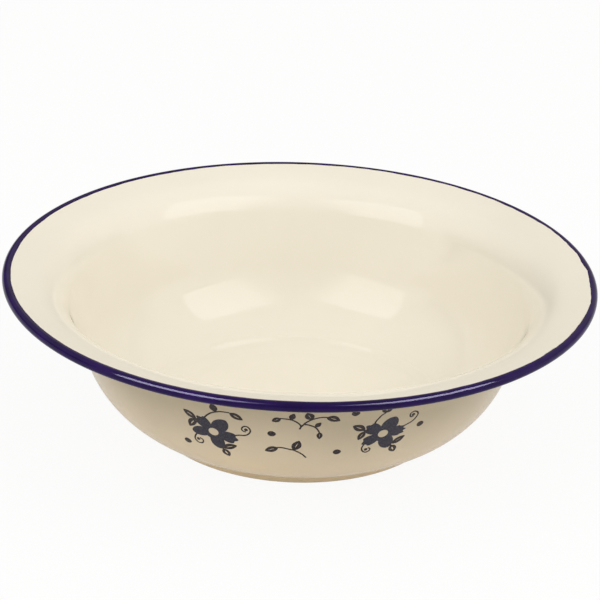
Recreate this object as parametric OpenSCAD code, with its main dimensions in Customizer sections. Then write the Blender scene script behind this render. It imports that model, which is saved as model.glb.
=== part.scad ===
// Enamelled basin bowl: a bowl drawn from one steel sheet, with a stepped foot, a wide brim and a
// hollow rolled rim. Cream enamel lies on both faces and dark blue enamel over it on the rolled rim.
// Millimetres. The bowl's axis is Z, and the standing face lies at Z = 0.

/* [Bowl] */
// Diameter over the rolled rim
rim_d = 400; // [370:1:460]
// Height from the standing face to the top of the rolled rim
height = 109.5; // [95:0.5:135]
// Diameter of the flat standing face
foot_d = 200; // [170:1:225]

/* [Foot step] */
// Rise of the step between the standing face and the wall
foot_h = 5.2; // [4:0.1:8]
// Steepness of the step's side, in degrees
foot_slope = 70; // [55:1:80]
// Bend radius at both ends of the step, at the middle of the sheet
foot_bend_r = 2; // [1.2:0.1:2.4]

/* [Wall and brim] */
// Steepness of the wall where it leaves the foot, in degrees
wall_low_slope = 30; // [18:1:38]
// Steepness of the wall where it meets the brim bend, in degrees, where that leaves it a curve
wall_top_slope = 70.5; // [64:0.5:80]
// Radius of the wall's bend at the middle of the sheet, where the wall has room for it
wall_r = 70; // [40:1:90]
// Radius of the bend between wall and brim, at the middle of the sheet
bend_r = 32; // [20:1:42]
// Steepness of the brim, in degrees
brim_slope = 13; // [5:1:20]
// Length of the straight brim, from the bend to the rolled rim
brim_len = 17; // [10:0.5:24]

/* [Rolled rim] */
// Diameter of the rolled rim, over its enamel
bead_d = 6.4; // [5:0.1:9]
// How far the edge of the sheet is rolled round, in degrees
curl_turn = 285; // [240:5:285]
// Length of brim that the blue enamel covers before the roll begins
rim_lap = 1.4; // [0.6:0.1:4]

/* [Sheet and enamel] */
// Thickness of the steel sheet
steel_t = 0.6; // [0.4:0.05:1]
// Thickness of the cream enamel, on each face
cream_t = 0.3; // [0.2:0.05:0.5]
// Thickness of the blue enamel, over the cream of the rolled rim
blue_t = 0.2; // [0.15:0.05:0.4]

/* [Hidden] */
$fn = 200;

// Faces of the sheet and of the enamel, as distances to the left of the sheet's middle line
sheet_top = steel_t / 2;
sheet_low = -steel_t / 2;
cream_top = sheet_top + cream_t;
cream_low = sheet_low - cream_t;
blue_top = cream_top + blue_t;

// Steps of the drawn section, each a straight of [0, length] or a bend of [radius, turn],
// where a turn to the left is positive
function straight(len) = [0, len];
function bend(radius, turn) = [radius, turn];
function turn_of(step) = step[0] == 0 ? 0 : step[1];
function part_of(step, share) = [step[0], step[1] * share];
function along(angle) = [cos(angle), sin(angle)];
function left_of(angle) = [-sin(angle), cos(angle)];
function reach(step, heading) =
    step[0] == 0
        ? step[1] * along(heading)
        : sign(step[1]) * step[0] * (left_of(heading) - left_of(heading + step[1]));

// Foot step, from the edge of the standing face up to the wall
foot_corner = bend(foot_bend_r, foot_slope);
foot_shoulder = bend(foot_bend_r, wall_low_slope - foot_slope);
foot_bends = reach(foot_corner, 0) + reach(foot_shoulder, foot_slope);
foot_side = straight((foot_h - foot_bends[1]) / sin(foot_slope));
wall_start = [foot_d / 2, -cream_low] + foot_bends + reach(foot_side, foot_slope);

// Rolled rim, whose outer and top faces give the overall diameter and height
curl_r = bead_d / 2 - blue_top;
curl_centre = [rim_d / 2 - bead_d / 2, height - bead_d / 2];
curl_start = curl_centre + curl_r * left_of(brim_slope);

// Middle of the brim bend, found back from the rolled rim
bend_centre = curl_start - brim_len * along(brim_slope) - bend_r * left_of(brim_slope);

// A straight wall from the foot to the brim bend would have this slope, and the real one is steeper
wall_sight = bend_centre - wall_start;
straight_slope = atan2(wall_sight[1], wall_sight[0]) + asin(bend_r / norm(wall_sight));
least_curve = 2;
wall_top = max(wall_top_slope, straight_slope + least_curve);
brim_bend = bend(bend_r, brim_slope - wall_top);
wall_end = bend_centre + bend_r * left_of(wall_top);

// Wall, two straights that would meet in a corner, rounded by the wall's bend
wall_turn = wall_top - wall_low_slope;
wall_run = wall_end - wall_start;
low_side = cross(wall_run, along(wall_top)) / sin(wall_turn);
top_side = cross(along(wall_low_slope), wall_run) / sin(wall_turn);
bend_side = min(wall_r * tan(wall_turn / 2), low_side, top_side);
wall_bend = bend(bend_side / tan(wall_turn / 2), wall_turn);

// The whole section, from the axis out to the edge of the sheet inside the roll
SECTION = [
    straight(foot_d / 2),
    foot_corner,
    foot_side,
    foot_shoulder,
    straight(low_side - bend_side),
    wall_bend,
    straight(top_side - bend_side),
    brim_bend,
    straight(brim_len - rim_lap),
    straight(rim_lap),
    bend(curl_r, -curl_turn),
    straight(blue_t)
];
BASE = 0;
RIM_LAP = 9;
CURL = 10;
EDGE_CAP = 11;

// Heading and place at the start of each step, along the middle of the sheet
HEADINGS = [
    for (i = 0, heading = 0; i < len(SECTION); heading = heading + turn_of(SECTION[i]), i = i + 1)
        heading
];
PLACES = [
    for (i = 0, place = [0, -cream_low]; i < len(SECTION);
            place = place + reach(SECTION[i], HEADINGS[i]), i = i + 1)
        place
];

// Largest distance between a bend and its facets
bend_error = 0.02;
// A straight shorter than this is left out, where a bend takes up all of it
shortest = 0.01;
function facets(step) =
    step[0] == 0
        ? (step[1] > shortest ? 1 : 0)
        : ceil(abs(step[1]) / (2 * acos(1 - bend_error / step[0])));

// Points of one step, at a distance to the left of the sheet's middle line, without its start
function step_line(i, off) = [
    for (k = [1 : 1 : facets(SECTION[i])])
        let(part = part_of(SECTION[i], k / facets(SECTION[i])))
            PLACES[i] + reach(part, HEADINGS[i]) + off * left_of(HEADINGS[i] + turn_of(part))
];

// Points of the steps from first to last
function line(off, first, last) = [
    PLACES[first] + off * left_of(HEADINGS[first]),
    for (i = [first : last]) each step_line(i, off)
];
function backward(points) = [for (i = [len(points) - 1 : -1 : 0]) points[i]];

// A layer of the bowl between two distances to the left of the sheet's middle line
module layer(lo, hi, first, last) {
    rotate_extrude() polygon(concat(line(lo, first, last), backward(line(hi, first, last))));
}

// Drawn bowl of sheet steel, with its edge rolled into a hollow bead
module steel_shell() {
    color("dimgray") layer(sheet_low, sheet_top, BASE, CURL);
}

// Cream enamel on the inside, which runs on round the rolled rim under the blue
module inside_enamel() {
    color("cornsilk") layer(sheet_top, cream_top, BASE, CURL);
}

// Cream enamel on the outside, from under the foot to the start of the roll
module outside_enamel() {
    color("wheat") layer(cream_low, sheet_low, BASE, RIM_LAP);
}

// Blue enamel over the cream of the rolled rim, closed over the edge of the sheet
module rim_enamel() {
    outer = line(blue_top, RIM_LAP, EDGE_CAP);
    edge = line(sheet_low, EDGE_CAP, EDGE_CAP);
    inner = line(cream_top, RIM_LAP, CURL);
    color("midnightblue") rotate_extrude() polygon(concat(outer, backward(edge), backward(inner)));
}

steel_shell();
inside_enamel();
outside_enamel();
rim_enamel();
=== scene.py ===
import math
import random

import bpy
import numpy as np
from mathutils import Matrix, Vector


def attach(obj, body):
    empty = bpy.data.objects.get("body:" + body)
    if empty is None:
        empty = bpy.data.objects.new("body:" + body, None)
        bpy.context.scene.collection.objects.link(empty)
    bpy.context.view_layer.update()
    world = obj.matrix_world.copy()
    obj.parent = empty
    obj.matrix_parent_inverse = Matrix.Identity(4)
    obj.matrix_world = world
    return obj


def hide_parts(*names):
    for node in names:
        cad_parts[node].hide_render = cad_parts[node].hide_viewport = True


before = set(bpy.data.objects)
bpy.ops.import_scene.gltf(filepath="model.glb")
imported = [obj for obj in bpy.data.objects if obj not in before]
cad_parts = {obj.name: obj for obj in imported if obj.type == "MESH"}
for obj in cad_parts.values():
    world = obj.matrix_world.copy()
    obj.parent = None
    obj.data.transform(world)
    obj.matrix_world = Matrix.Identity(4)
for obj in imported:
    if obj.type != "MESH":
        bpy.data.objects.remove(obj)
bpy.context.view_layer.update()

# Millimetres to metres
MM = 0.001

# The bowl's sizes in millimetres and degrees, as the part's source has them
RIM_D, HEIGHT, FOOT_D = 400.0, 109.5, 200.0
FOOT_H, FOOT_SLOPE, FOOT_BEND_R = 5.2, 70.0, 2.0
WALL_LOW_SLOPE, WALL_TOP_SLOPE, WALL_R = 30.0, 70.5, 70.0
BEND_R, BRIM_SLOPE, BRIM_LEN = 32.0, 13.0, 17.0
BEAD_D, CURL_TURN = 6.4, 285.0
STEEL_T, CREAM_T, BLUE_T = 0.6, 0.3, 0.2
SHEET = STEEL_T / 2
FACE = SHEET + CREAM_T
BLUE_FACE = FACE + BLUE_T
CURL_R = BEAD_D / 2 - BLUE_FACE

# Segments of a full turn of the enamel
TURNS = 300


# The drawn section
def along(angle):
    a = np.radians(angle)
    return np.stack([np.cos(a), np.sin(a)], -1)


def left_of(angle):
    a = np.radians(angle)
    return np.stack([-np.sin(a), np.cos(a)], -1)


def reach(step, heading):
    radius, amount = step
    if radius == 0:
        return amount * along(heading)
    return np.sign(amount) * radius * (left_of(heading) - left_of(heading + amount))


def cross(a, b):
    return a[0] * b[1] - a[1] * b[0]


def section_steps():
    """Straights of (0, length) and bends of (radius, turn), from the axis to the sheet's edge."""
    corner = (FOOT_BEND_R, FOOT_SLOPE)
    shoulder = (FOOT_BEND_R, WALL_LOW_SLOPE - FOOT_SLOPE)
    bends = reach(corner, 0) + reach(shoulder, FOOT_SLOPE)
    side = (0, (FOOT_H - bends[1]) / math.sin(math.radians(FOOT_SLOPE)))
    wall_start = np.array([FOOT_D / 2, FACE]) + bends + reach(side, FOOT_SLOPE)
    curl_centre = np.array([RIM_D / 2 - BEAD_D / 2, HEIGHT - BEAD_D / 2])
    curl_start = curl_centre + CURL_R * left_of(BRIM_SLOPE)
    brim_bend = (BEND_R, BRIM_SLOPE - WALL_TOP_SLOPE)
    wall_end = curl_start - BRIM_LEN * along(BRIM_SLOPE) - reach(brim_bend, WALL_TOP_SLOPE)
    turn = WALL_TOP_SLOPE - WALL_LOW_SLOPE
    run = wall_end - wall_start
    low = cross(run, along(WALL_TOP_SLOPE)) / math.sin(math.radians(turn))
    top = cross(along(WALL_LOW_SLOPE), run) / math.sin(math.radians(turn))
    tangent = WALL_R * math.tan(math.radians(turn / 2))
    return [
        (0, FOOT_D / 2), corner, side, shoulder, (0, low - tangent), (WALL_R, turn),
        (0, top - tangent), brim_bend, (0, BRIM_LEN), (CURL_R, -CURL_TURN), (0, BLUE_T),
    ]


STEPS = section_steps()
BASE, CORNER, SIDE, SHOULDER, LOW, WALL, TOP, BRIM_BEND, BRIM, CURL, CAP = range(len(STEPS))


def step_length(step):
    return step[1] if step[0] == 0 else step[0] * abs(math.radians(step[1]))


# Length along the middle of the sheet, place and heading at the start of each step
STARTS = np.concatenate([[0], np.cumsum([step_length(s) for s in STEPS])])
HEADINGS = np.concatenate([[0], np.cumsum([0 if s[0] == 0 else s[1] for s in STEPS])])
PLACES = [np.array([0, FACE])]
for step, heading in zip(STEPS, HEADINGS):
    PLACES.append(PLACES[-1] + reach(step, heading))
PLACES = np.array(PLACES)


def section(s, off):
    """Radius and height in millimetres, at length s and off to the left of the sheet's middle."""
    s, off = np.broadcast_arrays(np.asarray(s, float), np.asarray(off, float))
    i = np.clip(np.searchsorted(STARTS, s, side="right") - 1, 0, len(STEPS) - 1)
    radius = np.array([st[0] for st in STEPS])[i]
    turn_sign = np.sign(np.array([st[1] for st in STEPS]))[i]
    t = s - STARTS[i]
    straight = radius == 0
    turned = np.where(straight, 0, turn_sign * np.degrees(t / np.where(straight, 1, radius)))
    heading = HEADINGS[i] + turned
    bend = (turn_sign * radius)[..., None] * (left_of(HEADINGS[i]) - left_of(heading))
    place = PLACES[i] + np.where(straight[..., None], t[..., None] * along(HEADINGS[i]), bend)
    return place + off[..., None] * left_of(heading)


def spread(counts):
    """Lengths along the sheet: so many intervals on each step, finer towards the base's edge."""
    out = [np.array([STARTS[min(counts)]])]
    for i in sorted(counts):
        t = np.linspace(0, 1, counts[i] + 1)[1:]
        if i == BASE:
            t = 1 - (1 - t) ** 2
        out.append(STARTS[i] + (STARTS[i + 1] - STARTS[i]) * t)
    return np.concatenate(out)


# Slow waves of the enamel's thickness between foot and brim, and noise along a turn
rng = random.Random(11)
WAVES = [
    (rng.randint(2, 11), rng.uniform(35, 110), rng.uniform(0, 2 * math.pi)) for _ in range(7)
]
WAVE_HEIGHT = 0.022
WAVE_FADE, WAVE_END = 12.0, 10.0


def enamel_wave(phi, s):
    """How much thicker the enamel is at a place, in millimetres."""
    total = 0
    for count, length, phase in WAVES:
        total = total + np.cos(count * phi + 2 * np.pi * s / length + phase)
    begun = np.clip((s - STARTS[LOW]) / WAVE_FADE, 0, 1)
    left = np.clip((STARTS[BRIM] + WAVE_END - s) / WAVE_FADE, 0, 1)
    return WAVE_HEIGHT * total * (begun * left)


def ring_noise(count, seed):
    """Smooth noise between -1 and 1 round a turn, with so many knots."""
    knots = np.random.RandomState(seed).uniform(-1, 1, count)

    def value(phi):
        x = (np.asarray(phi) / (2 * np.pi) % 1) * count
        k = np.floor(x).astype(int)
        f = x - k
        f = f * f * (3 - 2 * f)
        return knots[k % count] * (1 - f) + knots[(k + 1) % count] * f

    return value


# Meshes
def link(data, name):
    obj = bpy.data.objects.new(name, data)
    bpy.context.scene.collection.objects.link(obj)
    return obj


def smooth(mesh, angle=40):
    mesh.polygons.foreach_set("use_smooth", [True] * len(mesh.polygons))
    mesh.set_sharp_from_angle(angle=math.radians(angle))


def revolved(name, loop):
    """A closed body from a loop of rows x turns x 3 points in millimetres.

    Each row is a full turn, and a row on the axis becomes one point.
    """
    rows, turns = loop.shape[:2]
    verts, row_ids = [], []
    for row in loop:
        if np.allclose(row[:, :2], 0, atol=1e-9):
            row_ids.append([len(verts)] * turns)
            verts.append(row[0])
        else:
            row_ids.append(list(range(len(verts), len(verts) + turns)))
            verts.extend(row)
    faces = []
    for i in range(rows):
        a, b = row_ids[i], row_ids[(i + 1) % rows]
        if a[0] == a[1] and b[0] == b[1]:
            continue
        for j in range(turns):
            k = (j + 1) % turns
            quad = [a[j], a[k], b[k], b[j]]
            if a[0] == a[1]:
                quad = [a[j], b[k], b[j]]
            elif b[0] == b[1]:
                quad = [a[j], a[k], b[j]]
            faces.append(quad)
    mesh = bpy.data.meshes.new(name)
    mesh.from_pydata((np.array(verts) * MM).tolist(), [], faces)
    mesh.validate()
    smooth(mesh)
    return link(mesh, name)


PHI = np.arange(TURNS) / TURNS * 2 * np.pi


def around(rz):
    """Points from rows x turns x 2 of radius and height."""
    r, z = rz[..., 0], rz[..., 1]
    return np.stack([r * np.cos(PHI), r * np.sin(PHI), np.broadcast_to(z, r.shape)], -1)


def turned(s, off):
    """Rows x turns of radius and height, where the offsets may differ along a turn."""
    return section(s[:, None] + 0 * PHI, off)


def coat(name, first, second):
    """A coat between two faces, each rows x turns of radius and height."""
    return revolved(name, around(np.concatenate([first, second[::-1]])))


FACE_ROWS = {
    BASE: 40, CORNER: 12, SIDE: 6, SHOULDER: 8, LOW: 4, WALL: 40, TOP: 14, BRIM_BEND: 48, BRIM: 24,
}
BACK_ROWS = {
    BASE: 1, CORNER: 5, SIDE: 1, SHOULDER: 3, LOW: 1, WALL: 14, TOP: 1, BRIM_BEND: 14, BRIM: 1,
}

# Inside coat: thinner where the brim begins to bend, run together in the corner of the foot, and
# taken on round the roll under the blue
EASE, EASE_WIDE, EASE_AT = 0.15, 5.0, 2.5
RUNS, RUN_FROM, RUN_TO = 420, STARTS[CORNER] - 10, STARTS[LOW] + 1
s_in = spread({**FACE_ROWS, CURL: 30})
eased = EASE * np.exp(-((s_in - STARTS[BRIM] + EASE_AT) / EASE_WIDE) ** 2)
inner_face = turned(s_in, FACE - eased[:, None] + enamel_wave(PHI, s_in[:, None]))
corner = np.nonzero((s_in > RUN_FROM) & (s_in < RUN_TO))[0]
plain = inner_face[corner]
outward = (turned(s_in, FACE + 1) - turned(s_in, FACE))[corner]
for _ in range(RUNS):
    run = (inner_face[corner - 1] + 2 * inner_face[corner] + inner_face[corner + 1]) / 4
    depth = np.sum((run - plain) * outward, -1, keepdims=True)
    inner_face[corner] = run - np.minimum(depth, 0) * outward
inside_coat = coat("inside_coat", inner_face, turned(spread({**BACK_ROWS, CURL: 20}), SHEET))

# Outside coat
s_out = spread(FACE_ROWS)
outer_face = turned(s_out, -FACE - enamel_wave(PHI, s_out[:, None]))
outside_coat = coat("outside_coat", turned(spread(BACK_ROWS), -SHEET), outer_face)

# Blue coat on the rolled rim. Its hand-laid inner edge wanders over the cream, narrower and
# rougher on the right, and stands up from the cream in a rounded lip
EDGE_LAP, EDGE_LEAN = 1.45, 0.6
FINE_EDGE, COARSE_EDGE = (0.10, 0.16, 0.3), (0.16, 0.22, 0.2)
LIP_WIDE, SUNK = 0.5, 0.03
LIP_ROWS = [0, 0.004, 0.010, 0.018, 0.028, 0.04, 0.06]
fine_noise, coarse_noise = ring_noise(420, 3), ring_noise(90, 5)


def edge_noise(value, least, more, begin):
    """Noise of the edge in millimetres, at least so high, and more of it on the right."""
    return (least + more * np.maximum(np.cos(PHI) + begin, 0)) * value(PHI)


edge = EDGE_LEAN * np.cos(PHI) - EDGE_LAP
edge = edge + edge_noise(fine_noise, *FINE_EDGE) + edge_noise(coarse_noise, *COARSE_EDGE)
round_roll = step_length(STEPS[CURL]) - edge
s_blue = edge + round_roll * np.concatenate([LIP_ROWS, np.linspace(0.09, 1, 54)])[:, None]
lip = np.clip((s_blue - edge) / LIP_WIDE, 0, 1)
lip = np.sqrt(1 - (1 - lip) ** 2)
blue_face = section(STARTS[CURL] + s_blue, FACE - SUNK + (BLUE_FACE - FACE + SUNK) * lip)
cap = np.stack([
    section(STARTS[CAP] + BLUE_T, BLUE_FACE),
    section(STARTS[CAP] + BLUE_T, -SHEET),
    section(STARTS[CAP], -SHEET),
])
cap = np.repeat(cap[:, None], TURNS, 1)
s_under = edge + round_roll * np.linspace(1, 0, 30)[:, None]
under = section(STARTS[CURL] + s_under, FACE - 1.5 * SUNK)
rim_coat = revolved("rim_coat", around(np.concatenate([blue_face, cap, under])))


# Printed decoration: thin films on the wall, drawn in millimetres along the turn and up the wall
PRINT_R = float(section(STARTS[TOP], -FACE)[0])
FILM_UP, FILM_DOWN = 0.045, 0.06
PRINT_REPEATS = 3
LEAF_SKEW, LEAF_BLUNT, SLOT_LENGTH = 0.9, 0.05, 0.46
PETAL_WIDE_AT = 0.62
TOOTH, TOOTH_FROM, TOOTH_SPAN = 1.6, 0.75, 0.12


def on_wall(points, turn, lift):
    """Places of (right, up) points on the outside of the wall, lifted off the enamel."""
    p = np.asarray(points, float)
    phi = turn - math.pi / 2 + p[:, 0] / PRINT_R
    s = STARTS[TOP] + p[:, 1]
    rz = section(s, -FACE - enamel_wave(phi, s) - lift)
    return np.stack([rz[:, 0] * np.cos(phi), rz[:, 0] * np.sin(phi), rz[:, 1]], -1) * MM


def film_faces(points, closed):
    """Faces of a thin closed body over one grid, whose lower points follow its upper ones."""
    rows, cols = points.shape[:2]
    flat = points.reshape(-1, 2)
    below = len(flat)
    faces, area = [], 0.0
    for i in range(rows if closed else rows - 1):
        row, after = i * cols, (i + 1) % rows * cols
        for j in range(cols - 1):
            top = [row + j, row + j + 1, after + j + 1, after + j]
            x, y = flat[top].T
            area += 0.5 * np.sum(x * np.roll(y, -1) - y * np.roll(x, -1))
            faces += [top, [v + below for v in reversed(top)]]
        for j in (0, cols - 1):
            side = [row + j, after + j, after + j + below, row + j + below]
            faces.append(side[::-1] if j else side)
    if not closed:
        for row in (0, (rows - 1) * cols):
            for a in range(row, row + cols - 1):
                end = [a, a + 1, a + 1 + below, a + below]
                faces.append(end[::-1] if row else end)
    return faces if area < 0 else [face[::-1] for face in faces]


class Film:
    """Grids of points on the wall that become one thin closed film for each repeat."""

    def __init__(self):
        self.grids = []

    def grid(self, points, closed=False):
        """points is rows x columns x 2; closed joins the last row to the first."""
        self.grids.append((np.asarray(points, float), closed))

    def body(self, name, turn):
        verts, faces = [], []
        for points, closed in self.grids:
            first = len(verts)
            for lift in (FILM_UP, -FILM_DOWN):
                verts.extend(on_wall(points.reshape(-1, 2), turn, lift))
            faces.extend([first + v for v in face] for face in film_faces(points, closed))
        mesh = bpy.data.meshes.new(name)
        mesh.from_pydata([tuple(v) for v in verts], [], faces)
        mesh.validate()
        smooth(mesh, angle=60)
        return link(mesh, name)


def spline(points, step=0.5):
    """A smooth line through points, at about even steps."""
    p = np.asarray(points, float)
    p = np.concatenate([[2 * p[0] - p[1]], p, [2 * p[-1] - p[-2]]])
    out = []
    for i in range(1, len(p) - 2):
        a, b, c, d = p[i - 1: i + 3]
        n = max(2, int(np.linalg.norm(c - b) / step))
        t = (np.arange(n) / n)[:, None]
        out.append(0.5 * (2 * b + (c - a) * t + (2 * a - 5 * b + 4 * c - d) * t**2
                          + (3 * b - a - 3 * c + d) * t**3))
    return np.concatenate(out + [p[-2:-1]])


def stem(film, points, wide=1.15, thin=1.0):
    line = spline(points)
    way = np.gradient(line, axis=0)
    way /= np.linalg.norm(way, axis=1)[:, None] + 1e-9
    side = np.stack([-way[:, 1], way[:, 0]], -1)
    half = np.linspace(wide, thin, len(line))[:, None] / 2
    film.grid(np.stack([line - side * half, line, line + side * half], 1))


def leaf_edges(base, tip, width, sway, fullness, count=30):
    """Both edges of a leaf from its base to its tip, as two lines of points."""
    base, tip = np.asarray(base, float), np.asarray(tip, float)
    way = tip - base
    side = np.array([-way[1], way[0]]) / np.linalg.norm(way)
    t = (1 - np.cos(np.linspace(0, np.pi, count))) / 2
    spine = base + t[:, None] * way + (sway * np.sin(np.pi * t))[:, None] * side
    half = width / 2 * np.sin(np.pi * t**LEAF_SKEW) ** fullness + LEAF_BLUNT
    return spine - side * half[:, None], spine + side * half[:, None]


def leaf(film, base, tip, width, slot=0.0, sway=0.0, fullness=0.75):
    """A leaf, with a bare slot along its middle where slot gives the slot's share of its width."""
    low, high = leaf_edges(base, tip, width, sway, fullness)
    if slot == 0:
        t = np.linspace(0, 1, 5)[None, :, None]
        film.grid(low[:, None] * (1 - t) + high[:, None] * t)
        return
    outer = np.concatenate([low, high[::-1]])
    middle = outer.mean(0)
    way = np.asarray(tip, float) - np.asarray(base, float)
    way /= np.linalg.norm(way)
    side = np.array([-way[1], way[0]])
    rel = outer - middle
    inner = middle + np.outer(rel @ way * SLOT_LENGTH, way) + np.outer(rel @ side * slot, side)
    t = np.linspace(0, 1, 4)[None, :, None]
    film.grid(outer[:, None] * (1 - t) + inner[:, None] * t, closed=True)


def dot(film, centre, long, wide, angle=0.0):
    """A round dot, a little fuller at its four corners."""
    half = long / 2 * along(angle)
    leaf(film, np.asarray(centre) - half, np.asarray(centre) + half, wide, fullness=0.55)


def tendril(film, points, wide=1.1):
    """A stem that curls up and ends in a dot."""
    stem(film, points[:-1], wide, wide * 0.9)
    dot(film, points[-1], 2.4, 2.4)


def petal(theta, angle, length, half_width, power, heart):
    """Distance from a flower's middle to the edge of one petal, seen at angle theta."""
    wide_at = PETAL_WIDE_AT * length
    far = math.hypot(wide_at, half_width)
    share = (1 - (far - heart) / (length - heart)) ** (1 / power)
    reach_angle = math.degrees(math.atan2(half_width, wide_at)) / share
    off = np.abs((theta - angle + 180) % 360 - 180) / reach_angle
    return np.where(off < 1, heart + (length - heart) * (1 - off**power), heart)


def flower(film, centre, eye, petals, heart=6.8):
    """A flower with a bare eye. Each petal is (angle, length, half width, power, teeth)."""
    theta = np.arange(360.0)
    out = np.full(len(theta), heart)
    for angle, length, half_width, power, teeth in petals:
        far = petal(theta, angle, length, half_width, power, heart)
        if teeth:
            d = np.radians((theta - angle + 180) % 360 - 180)
            notch = 0.5 - 0.5 * np.cos(np.sin(d) * far / half_width * math.pi * teeth)
            near_tip = np.clip((far / length - TOOTH_FROM) / TOOTH_SPAN, 0, 1)
            far = far - TOOTH * notch * near_tip
        out = np.maximum(out, far)
    t = np.linspace(0, 1, 9)
    ray = eye * (1 - t) + out[:, None] * t
    film.grid(np.asarray(centre) + ray[..., None] * along(theta)[:, None], closed=True)


fills, lines = Film(), Film()

# Left flower with its leaves and tendrils
flower(fills, (-50.75, 8.35), 3.3, [
    (54, 15.6, 5.0, 1.4, 0), (-14, 16.4, 4.9, 2.6, 2), (-77, 15.2, 4.7, 1.5, 0),
    (192, 15.2, 4.1, 1.6, 0), (130, 15.2, 4.6, 2.8, 2),
])
stem(lines, [(-58.8, 15.4), (-60.8, 16.6), (-62.8, 17.8)], 1.6, 1.2)
leaf(lines, (-61.4, 17.2), (-69.1, 22.9), 5.2, 0.13)
leaf(lines, (-61.6, 16.6), (-67.2, 8.5), 5.3, 0.13, -0.4)
stem(lines, [(-47.4, -4.2), (-46.4, -5.4), (-45.4, -7.0)], 1.5, 1.2)
leaf(lines, (-45.8, -5.2), (-36.2, -0.8), 5.0, 0.10, 0.3)
leaf(lines, (-45.8, -6.0), (-42.6, -13.4), 5.4, 0.19)
stem(lines, [
    (-55.5, 20.0), (-53.5, 22.5), (-50.5, 25.5), (-47.5, 27.2), (-44.0, 28.5), (-38.5, 28.8),
])
leaf(lines, (-47.5, 27.6), (-49.2, 34.2), 5.0)
leaf(lines, (-38.6, 28.6), (-30.8, 23.9), 4.9, 0.12)
tendril(lines, [
    (-36.5, 8.6), (-34.0, 9.5), (-30.5, 10.0), (-28.2, 11.5), (-26.8, 14.0), (-26.8, 16.0),
    (-28.0, 18.0), (-29.8, 18.5), (-31.5, 17.2), (-32.0, 15.2), (-31.0, 13.7), (-29.5, 13.5),
    (-29.3, 15.4),
])
tendril(lines, [
    (-62.7, 3.2), (-64.2, 1.0), (-65.0, -1.5), (-64.7, -3.5), (-63.0, -5.2), (-60.5, -5.0),
    (-59.3, -3.0), (-59.7, -1.3), (-61.5, -0.5), (-62.6, -1.8),
])
dot(lines, (-71.2, -6.5), 5.2, 4.7)

# Upper sprig
stem(lines, [
    (2.9, 19.7), (3.7, 22.2), (3.0, 24.0), (1.5, 25.7), (-0.5, 27.2), (-2.5, 28.1), (-5.5, 28.6),
    (-8.8, 28.7),
])
leaf(lines, (-8.3, 28.7), (-13.4, 25.8), 4.1, 0.08)
leaf(lines, (-2.4, 28.1), (-0.5, 33.6), 3.8)
stem(lines, [
    (3.7, 22.0), (5.0, 23.7), (6.2, 25.5), (8.0, 27.2), (10.0, 28.7), (13.0, 30.0), (16.0, 30.7),
    (18.8, 30.5),
])
leaf(lines, (10.0, 28.6), (6.7, 34.6), 5.6, 0.06)
leaf(lines, (18.4, 30.4), (26.5, 27.1), 5.2, 0.10, 0.5)
stem(lines, [(5.9, 24.2), (8.0, 23.8), (10.0, 22.9), (12.0, 21.7), (13.7, 19.5), (15.0, 16.5)])
leaf(lines, (12.3, 21.8), (15.3, 25.9), 3.3)
leaf(lines, (15.1, 16.9), (15.2, 10.9), 3.6, 0.07)
dot(lines, (-13.7, 14.4), 5.2, 4.7)

# Lower sprig
leaf(lines, (-10.0, 1.8), (-18.2, -2.0), 5.0, 0.10)
stem(lines, [
    (-10.3, 2.0), (-7.5, 2.1), (-5.0, 1.5), (-2.0, 0.7), (0.0, 0.2), (2.5, -1.3), (5.5, -3.7),
    (8.0, -6.9),
])
leaf(lines, (-0.3, 0.5), (3.1, 9.1), 5.9, 0.08, -0.3)
dot(lines, (27.3, -1.8), 5.2, 4.5)
dot(lines, (35.2, 33.0), 5.0, 4.7)

# Right flower with its leaves and tendrils
flower(fills, (55.3, 11.2), 3.3, [
    (143, 15.0, 4.9, 2.6, 2), (67, 15.4, 5.2, 1.5, 0), (4, 15.4, 4.6, 2.2, 3),
    (-67, 15.2, 4.9, 1.6, 0), (211, 15.0, 4.4, 2.2, 2),
])
stem(lines, [(45.2, 15.8), (43.2, 16.0), (41.6, 16.8)], 1.6, 1.2)
leaf(lines, (42.8, 16.8), (34.8, 21.6), 5.6, 0.12)
leaf(lines, (42.8, 15.4), (39.5, 8.0), 4.4, 0.08)
stem(lines, [(61.4, -0.6), (62.8, -1.2), (64.4, -2.4)], 1.5, 1.2)
leaf(lines, (63.4, 0.2), (71.5, 5.6), 4.8, 0.07)
leaf(lines, (63.2, -1.4), (67.2, -8.4), 5.4, 0.19)
stem(lines, [(48.2, 21.0), (48.7, 23.5), (50.0, 26.0), (51.5, 28.5), (54.0, 30.8)])
leaf(lines, (53.9, 30.9), (51.0, 34.0), 2.4)
leaf(lines, (53.9, 30.9), (57.6, 33.8), 2.6)
tendril(lines, [
    (68.7, 15.0), (71.0, 16.2), (74.0, 18.0), (75.7, 20.5), (76.5, 23.5), (75.5, 25.7),
    (73.2, 26.9), (71.2, 25.7), (71.0, 23.7), (72.0, 22.2), (73.6, 22.6), (73.2, 24.0),
])
tendril(lines, [
    (44.2, 3.2), (43.2, 0.5), (43.5, -2.0), (45.0, -4.0), (47.0, -4.5), (48.7, -3.2), (48.7, -1.3),
    (47.2, -0.4), (46.1, -1.8),
])
dot(lines, (80.7, 13.4), 5.0, 4.6)

print_pieces = []
for i in range(PRINT_REPEATS):
    for kind, film in (("flowers", fills), ("sprigs", lines)):
        piece = film.body(f"print_{kind}_{i + 1}", 2 * math.pi * i / PRINT_REPEATS)
        print_pieces.append((piece, kind))


# Materials
NOISE_SPAN = (0.3, 0.7)


def shader(name):
    mat = bpy.data.materials.new(name)
    mat.use_nodes = True
    tree = mat.node_tree
    return mat, tree, tree.nodes["Principled BSDF"]


def parts_of(tree, node_type, output):
    """The x, y and z of an output of a new node."""
    node = tree.nodes.new("ShaderNodeSeparateXYZ")
    tree.links.new(tree.nodes.new(node_type).outputs[output], node.inputs[0])
    return node.outputs


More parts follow.
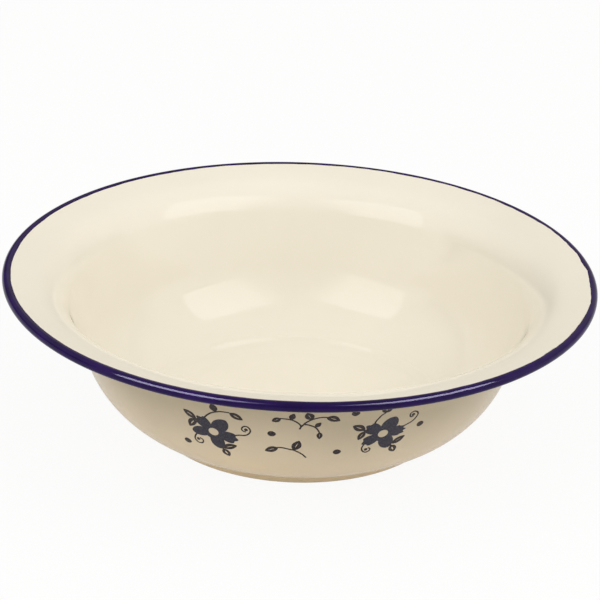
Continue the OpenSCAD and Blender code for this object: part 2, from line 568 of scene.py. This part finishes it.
def noise(tree, scale, detail=2.0, rough=0.5):
    coords = tree.nodes.new("ShaderNodeTexCoord")
    node = tree.nodes.new("ShaderNodeTexNoise")
    node.inputs["Scale"].default_value = scale
    node.inputs["Detail"].default_value = detail
    node.inputs["Roughness"].default_value = rough
    tree.links.new(coords.outputs["Object"], node.inputs["Vector"])
    return node.outputs["Fac"]


def ramp(tree, value, stops):
    """A value turned into colours: stops are (position, colour)."""
    node = tree.nodes.new("ShaderNodeValToRGB")
    while len(node.color_ramp.elements) < len(stops):
        node.color_ramp.elements.new(0.5)
    for element, (place, colour) in zip(node.color_ramp.elements, stops):
        element.position = place
        element.color = (*colour, 1)
    tree.links.new(value, node.inputs["Fac"])
    return node.outputs["Color"]


def map_range(tree, value, source, target, ease="LINEAR"):
    """A value taken from one range to another."""
    node = tree.nodes.new("ShaderNodeMapRange")
    node.interpolation_type = ease
    names = ("From Min", "From Max", "To Min", "To Max")
    for name, number in zip(names, (*source, *target)):
        node.inputs[name].default_value = number
    tree.links.new(value, node.inputs["Value"])
    return node.outputs["Result"]


def uneven(tree, scale, detail, target):
    """Noise mapped to a range."""
    return map_range(tree, noise(tree, scale, detail), NOISE_SPAN, target)


def fade(tree, value, source, target):
    return map_range(tree, value, source, target, "SMOOTHSTEP")


def bump(tree, height, distance, after=None):
    node = tree.nodes.new("ShaderNodeBump")
    node.inputs["Strength"].default_value = 1.0
    node.inputs["Distance"].default_value = distance
    tree.links.new(height, node.inputs["Height"])
    if after is not None:
        tree.links.new(after, node.inputs["Normal"])
    return node.outputs["Normal"]


def math_node(tree, operation, *values):
    node = tree.nodes.new("ShaderNodeMath")
    node.operation = operation
    for socket, value in zip(node.inputs, values):
        if isinstance(value, (int, float)):
            socket.default_value = value
        else:
            tree.links.new(value, socket)
    return node.outputs[0]


def srgb(r, g, b):
    """Linear colour of a colour given in 8-bit steps."""
    def one(c):
        c /= 255
        return c / 12.92 if c <= 0.04045 else ((c + 0.055) / 1.055) ** 2.4
    return one(r), one(g), one(b)


# Enamel, whose surface swells slowly and has a fine peel, both in metres
SWELL_SCALE, SWELL = 24.0, 0.00012
PEEL_SCALE, PEEL = 330.0, 0.00002
GLOSS_SCALE, GLASS_IOR = 26.0, 1.5
# How far the tone's noise shifts the painted shade that runs by height
RISE_DRIFT = 0.6


def enamel(name, tones, rough, slow=9.0, rise=0.0, gloss=0.5):
    """Fired enamel with a slightly uneven gloss.

    Its tones drift slowly over the surface or, where rise gives a height, mostly up to there: a
    painted shade by height.
    """
    mat, tree, bsdf = shader(name)
    tone = noise(tree, slow, 3.0)
    if rise:
        height = parts_of(tree, "ShaderNodeTexCoord", "Object")[2]
        drift = math_node(tree, "MULTIPLY", math_node(tree, "SUBTRACT", tone, 0.5), RISE_DRIFT)
        tone = math_node(tree, "ADD", math_node(tree, "DIVIDE", height, rise), drift)
    tree.links.new(ramp(tree, tone, tones), bsdf.inputs["Base Color"])
    tree.links.new(uneven(tree, GLOSS_SCALE, 3.0, rough), bsdf.inputs["Roughness"])
    swell = bump(tree, noise(tree, SWELL_SCALE, 1.0), SWELL)
    peel = bump(tree, noise(tree, PEEL_SCALE), PEEL, after=swell)
    tree.links.new(peel, bsdf.inputs["Normal"])
    bsdf.inputs["IOR"].default_value = GLASS_IOR
    bsdf.inputs["Specular IOR Level"].default_value = gloss
    return mat


def ink(name, grain, tones):
    """Fired-on ink with a fine grain."""
    mat, tree, bsdf = shader(name)
    tree.links.new(ramp(tree, noise(tree, grain, rough=0.6), tones), bsdf.inputs["Base Color"])
    tree.links.new(uneven(tree, 60.0, 2.0, (0.14, 0.22)), bsdf.inputs["Roughness"])
    bsdf.inputs["Specular IOR Level"].default_value = 0.3
    return mat


def sheet_metal(name, tones):
    mat, tree, bsdf = shader(name)
    tree.links.new(ramp(tree, noise(tree, 40.0, 4.0), tones), bsdf.inputs["Base Color"])
    tree.links.new(uneven(tree, 120.0, 3.0, (0.35, 0.6)), bsdf.inputs["Roughness"])
    bsdf.inputs["Metallic"].default_value = 1.0
    return mat


cream_in = enamel("cream_inside", [
    (0.30, srgb(240, 234, 219)), (0.52, srgb(242, 236, 221)), (0.72, srgb(244, 238, 223)),
], (0.02, 0.045))
# The outside is the same cream enamel, painted darker and tanner as shade, and painted darker
# still from the foot up towards the brim, where the brim's shade falls
shaded_cream_out = enamel("cream_outside_painted_shade", [
    (0.15, srgb(243, 222, 185)), (0.5, srgb(217, 202, 175)), (0.85, srgb(187, 173, 147)),
], (0.03, 0.06), rise=0.09)
blue = enamel("blue_rim", [
    (0.30, srgb(26, 9, 62)), (0.52, srgb(32, 12, 71)), (0.72, srgb(38, 15, 80)),
], (0.04, 0.08), slow=60.0, gloss=0.12)
inks = {
    "flowers": ink("printed_petals", 1500.0, [
        (0.36, srgb(24, 22, 36)), (0.50, srgb(40, 38, 54)), (0.64, srgb(66, 64, 80)),
    ]),
    "sprigs": ink("printed_lines", 900.0, [
        (0.36, srgb(26, 18, 20)), (0.50, srgb(40, 31, 33)), (0.66, srgb(62, 51, 50)),
    ]),
}
steel = sheet_metal("sheet_steel", [
    (0.30, (0.10, 0.10, 0.11)), (0.55, (0.16, 0.16, 0.17)), (0.75, (0.22, 0.21, 0.21)),
])


def wear(obj, mat):
    obj.data.materials.clear()
    obj.data.materials.append(mat)


for piece, mat, node, slot in (
    (inside_coat, cream_in, "inside_enamel", "cream_enamel"),
    (outside_coat, shaded_cream_out, "outside_enamel", "cream_enamel"),
    (rim_coat, blue, "rim_enamel", "blue_enamel"),
):
    wear(piece, mat)
    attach(piece, "root")
    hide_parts(node)
for piece, kind in print_pieces:
    wear(piece, inks[kind])
    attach(piece, "root")
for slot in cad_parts["steel_shell"].material_slots:
    slot.material = steel

# Floor just under the standing face, white to the camera and in reflections, with the bowl's
# shadow kept on it
FLOOR_HALF, FLOOR_Z = 8.0, -0.0002
FLOOR_GREY, FLOOR_ROUGH, FLOOR_GLOSS = 0.9, 0.9, 0.1
CAMERA_GLOW, MIRROR_GLOW = 0.92, 0.3


def floor_white():
    mat, tree, bsdf = shader("floor_white")
    bsdf.inputs["Base Color"].default_value = (FLOOR_GREY, FLOOR_GREY, FLOOR_GREY, 1)
    bsdf.inputs["Roughness"].default_value = FLOOR_ROUGH
    bsdf.inputs["Specular IOR Level"].default_value = FLOOR_GLOSS
    glow = tree.nodes.new("ShaderNodeEmission")
    path = tree.nodes.new("ShaderNodeLightPath").outputs
    mirrored = math_node(tree, "MAXIMUM", path["Is Glossy Ray"], path["Is Transmission Ray"])
    seen = math_node(tree, "MULTIPLY", path["Is Camera Ray"], CAMERA_GLOW)
    share = math_node(tree, "ADD", seen, math_node(tree, "MULTIPLY", mirrored, MIRROR_GLOW))
    mix = tree.nodes.new("ShaderNodeMixShader")
    tree.links.new(share, mix.inputs["Fac"])
    tree.links.new(bsdf.outputs[0], mix.inputs[1])
    tree.links.new(glow.outputs[0], mix.inputs[2])
    tree.links.new(mix.outputs[0], tree.nodes["Material Output"].inputs["Surface"])
    return mat


floor_mesh = bpy.data.meshes.new("floor")
corners = [(-1, -1), (1, -1), (1, 1), (-1, 1)]
floor_mesh.from_pydata(
    [(x * FLOOR_HALF, y * FLOOR_HALF, 0) for x, y in corners], [], [(0, 1, 2, 3)]
)
floor = link(floor_mesh, "floor")
floor.location.z = FLOOR_Z
wear(floor, floor_white())

# Light: a pale surround, with a level for each side by axis and sign, and two soft boxes in front.
# Azimuths count in degrees from the front to the right. Each dark part of the surround has its
# start, its end, and how much it takes away near the horizon and higher up
SURROUND = {
    "front": (1, -1, 0.36), "back": (1, 1, 0.47), "left": (0, -1, 1.38), "right": (0, 1, 1.34),
    "top": (2, 1, 0.77),
}
DARK_PARTS = ((-170, -78, 0.8, 0.1), (101, 142, 0.5, 0.05))
DARK_EDGE, DARK_FADE = math.radians(6), (0.25, 0.62)
HORIZON, HORIZON_GAIN = (0.07, 0.13), 1.1


def surround():
    world = bpy.data.worlds.new("studio")
    world.use_nodes = True
    tree = world.node_tree
    sockets = tree.nodes["Background"].inputs
    way = parts_of(tree, "ShaderNodeTexCoord", "Generated")
    tint = ramp(tree, way[1], [(0.1, (1.0, 0.985, 0.96)), (0.8, (1.0, 0.93, 0.80))])
    tree.links.new(tint, sockets["Color"])
    total = 0.0
    for axis, sign, level in SURROUND.values():
        towards = math_node(tree, "MAXIMUM", math_node(tree, "MULTIPLY", way[axis], sign), 0.0)
        share = math_node(tree, "MULTIPLY", math_node(tree, "POWER", towards, 2.0), level)
        total = math_node(tree, "ADD", total, share)
    azimuth = math_node(tree, "ARCTAN2", way[0], math_node(tree, "MULTIPLY", way[1], -1.0))
    for start, end, dark, rest in DARK_PARTS:
        start, end = math.radians(start), math.radians(end)
        begun = fade(tree, azimuth, (start - DARK_EDGE, start + DARK_EDGE), (0.0, 1.0))
        left = fade(tree, azimuth, (end - DARK_EDGE, end + DARK_EDGE), (1.0, 0.0))
        window = math_node(tree, "MULTIPLY", begun, left)
        above = fade(tree, way[2], HORIZON, (0.0, 1.0))
        band = math_node(tree, "MULTIPLY", above, fade(tree, way[2], DARK_FADE, (dark, rest)))
        kept = math_node(tree, "SUBTRACT", 1.0, math_node(tree, "MULTIPLY", window, band))
        total = math_node(tree, "MULTIPLY", total, kept)
    gain = fade(tree, way[2], HORIZON, (HORIZON_GAIN, 1.0))
    tree.links.new(math_node(tree, "MULTIPLY", total, gain), sockets["Strength"])
    return world


bpy.context.scene.world = surround()

# Azimuth and elevation of the soft boxes, and their sizes and distances in metres
LEFT_BOX, RIGHT_BOX = (-42.0, 43.0), (52.4, 48.5)
BOX_AWAY, STREAK_AWAY = 1.7, 1.5
BOX_AIM, BOX_FADE = Vector((0, 0, 0.06)), (0.0, 0.4)
STREAK, STREAK_COLOUR = 30.0, (0.92, 0.87, 1.2)


def soft_box(name, place, away, width, height, radiance):
    """A rectangular lamp that faces the bowl and fades towards its inner side."""
    azimuth, elevation = math.radians(place[0]), math.radians(place[1])
    level = math.cos(elevation)
    way = Vector((math.sin(azimuth) * level, -math.cos(azimuth) * level, math.sin(elevation)))
    data = bpy.data.lights.new(name, "AREA")
    data.shape = "RECTANGLE"
    data.size, data.size_y = width, height
    data.energy = radiance * math.pi * width * height
    data.use_nodes = True
    tree = data.node_tree
    across = parts_of(tree, "ShaderNodeNewGeometry", "Parametric")[0]
    if azimuth < 0:
        across = math_node(tree, "SUBTRACT", 1.0, across)
    shade = fade(tree, across, BOX_FADE, (0.0, 1.0))
    tree.links.new(shade, tree.nodes["Emission"].inputs["Strength"])
    lamp = link(data, name)
    lamp.location = BOX_AIM + way * away
    lamp.rotation_euler = way.to_track_quat("Z", "Y").to_euler()
    return lamp


soft_box("soft_box_left", LEFT_BOX, BOX_AWAY, 1.48, 1.22, 1.32)
soft_box("soft_box_right", RIGHT_BOX, BOX_AWAY, 1.49, 1.11, 1.3)

# The boxes' streaks on the dark rim, which show stronger there than in the pale bowl: gloss only,
# and on the rim alone
rim_only = bpy.data.collections.new("rim_only")
rim_only.objects.link(rim_coat)
for streak in (
    soft_box("rim_streak_left", LEFT_BOX, STREAK_AWAY, 1.3, 0.74, STREAK),
    soft_box("rim_streak_right", RIGHT_BOX, STREAK_AWAY, 1.3, 0.70, STREAK),
):
    streak.data.color = STREAK_COLOUR
    streak.visible_diffuse = False
    streak.light_linking.receiver_collection = rim_only

# Camera at the photograph's place
CAMERA_AT = Vector((0.0, -1.2892, 0.6805))
PITCH, YAW, ROLL = math.radians(24.79), math.radians(0.02), math.radians(2.11)
LENS_PX, IMAGE_PX, SENSOR = 2086.0, 600.0, 36.0
ahead = Vector((
    math.sin(YAW) * math.cos(PITCH), math.cos(YAW) * math.cos(PITCH), -math.sin(PITCH)
))
level = Vector((math.cos(YAW), -math.sin(YAW), 0))
upright = level.cross(ahead)
right = math.cos(ROLL) * level + math.sin(ROLL) * upright
up = -math.sin(ROLL) * level + math.cos(ROLL) * upright
camera_data = bpy.data.cameras.new("camera")
camera_data.sensor_fit = "HORIZONTAL"
camera_data.sensor_width = SENSOR
camera_data.lens = LENS_PX / IMAGE_PX * SENSOR
camera = link(camera_data, "camera")
placing = [[right[i], up[i], -ahead[i], CAMERA_AT[i]] for i in range(3)] + [[0, 0, 0, 1]]
camera.matrix_world = Matrix(placing)
bpy.context.scene.camera = camera
bpy.context.scene.view_settings.view_transform = "Standard"
